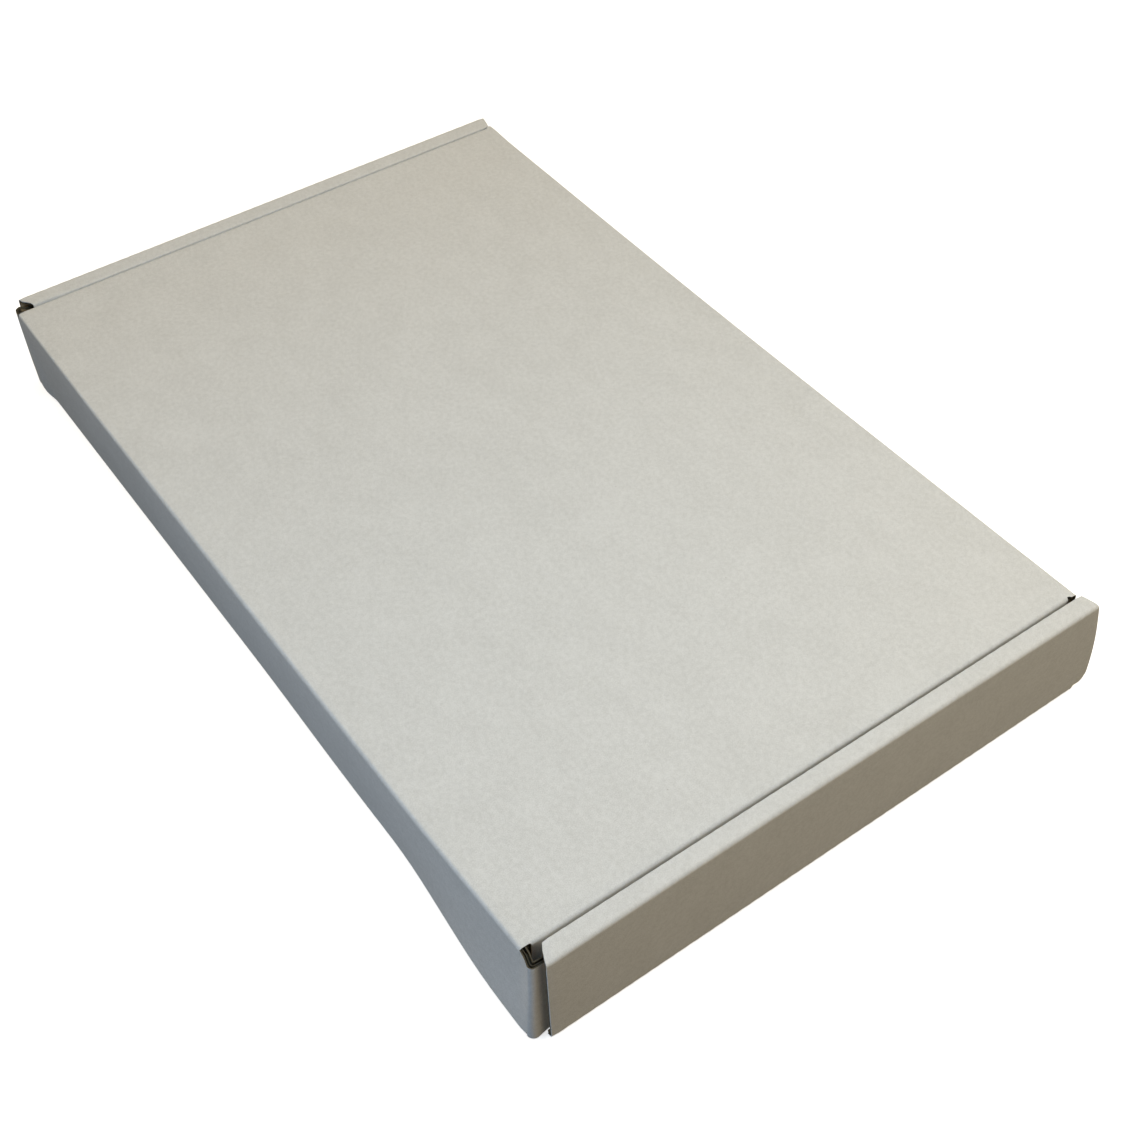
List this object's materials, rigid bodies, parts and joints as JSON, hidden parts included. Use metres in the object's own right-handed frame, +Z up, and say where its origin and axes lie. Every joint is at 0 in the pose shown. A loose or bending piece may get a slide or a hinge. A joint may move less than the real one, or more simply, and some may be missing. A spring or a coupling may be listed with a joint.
{
  "type": "mailer box",
  "caption": "Shallow white corrugated mailer box with rolled locking ends and a hinged lid that tucks in at the front.",
  "frame": {"origin": "centre of the footprint, on the surface that the box stands on", "axes": "+X along the box between its two rolled ends, +Y towards the rear wall that carries the lid, +Z up"},
  "size_m": [0.237, 0.1492, 0.028],
  "materials": {
    "board": "matte"
  },
  "bodies": {
    "tray": {"tray": "board"},
    "lid": {"lid": "board"}
  },
  "joints": [
    {"name": "lid_hinge", "type": "hinge", "parent": "tray", "child": "lid", "pos_m": [0, 0.0739, 0.02565], "axis": [-1, 0, 0], "range_deg": [0, 180]}
  ]
}
